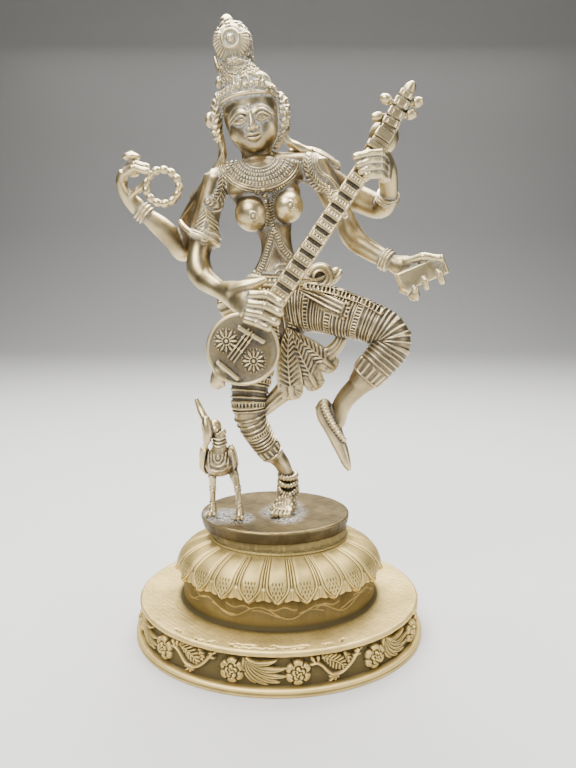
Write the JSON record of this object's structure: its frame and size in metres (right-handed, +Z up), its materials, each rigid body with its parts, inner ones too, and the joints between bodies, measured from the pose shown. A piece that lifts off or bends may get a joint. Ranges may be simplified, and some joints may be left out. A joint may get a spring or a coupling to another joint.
{
  "type": "saraswati figure",
  "caption": "Dancing four-armed goddess with a long lute and a small crested bird, cast in brass, on an oval lotus plinth.",
  "frame": {"origin": "middle of the plinth's underside", "axes": "+Z up, the figure faces -Y, +X to the viewer's right"},
  "size_m": [0.1985, 0.152, 0.3818],
  "materials": {
    "golden_brass": "cast brass, satin, golden",
    "slab_brass": "cast brass, dull brown, rubbed bright at the rim",
    "dark_brass": "cast bronze-brown brass, polished on the high places, dull and greenish in the hollows"
  },
  "bodies": {
    "root": {"lotus_base": "golden_brass", "slab": "slab_brass", "figure": "dark_brass", "bird": "dark_brass"}
  },
  "joints": []
}
